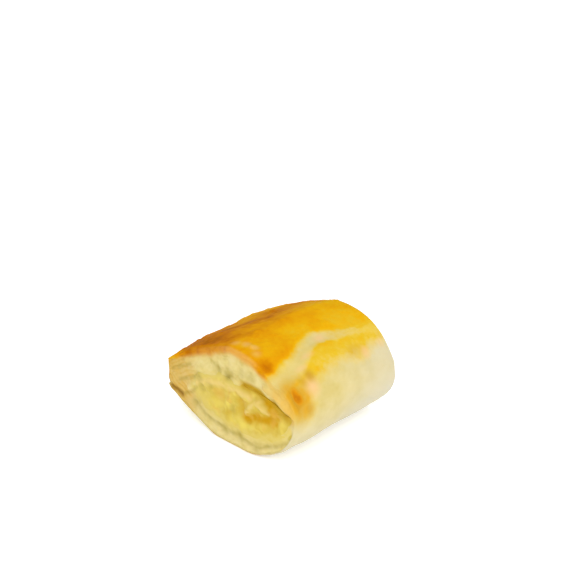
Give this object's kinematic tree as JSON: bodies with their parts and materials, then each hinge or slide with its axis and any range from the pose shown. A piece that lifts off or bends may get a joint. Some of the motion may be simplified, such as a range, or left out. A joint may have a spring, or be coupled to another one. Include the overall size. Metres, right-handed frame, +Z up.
{
  "type": "cheese puff pastry",
  "caption": "Small golden puff pastry cut from a folded roll, with a glazed domed top, a crimped lip, flaky cut ends and a yellow cheese filling that runs through.",
  "frame": {"origin": "centre of the bounding box in X and Y, on the flat of the base", "axes": "+X along the roll from the cut that the picture shows to the hidden one, -Y towards the smooth fold, +Y towards the crimped lip, +Z up"},
  "size_m": [0.054, 0.0626, 0.0394],
  "materials": {
    "crust": "baked puff pastry, egg-washed top in golden orange, pale flaky dough at the fold and the cuts",
    "cheese": "soft baked yellow cheese, slightly moist"
  },
  "bodies": {
    "root": {"pastry": "crust", "filling": "cheese"}
  },
  "joints": []
}
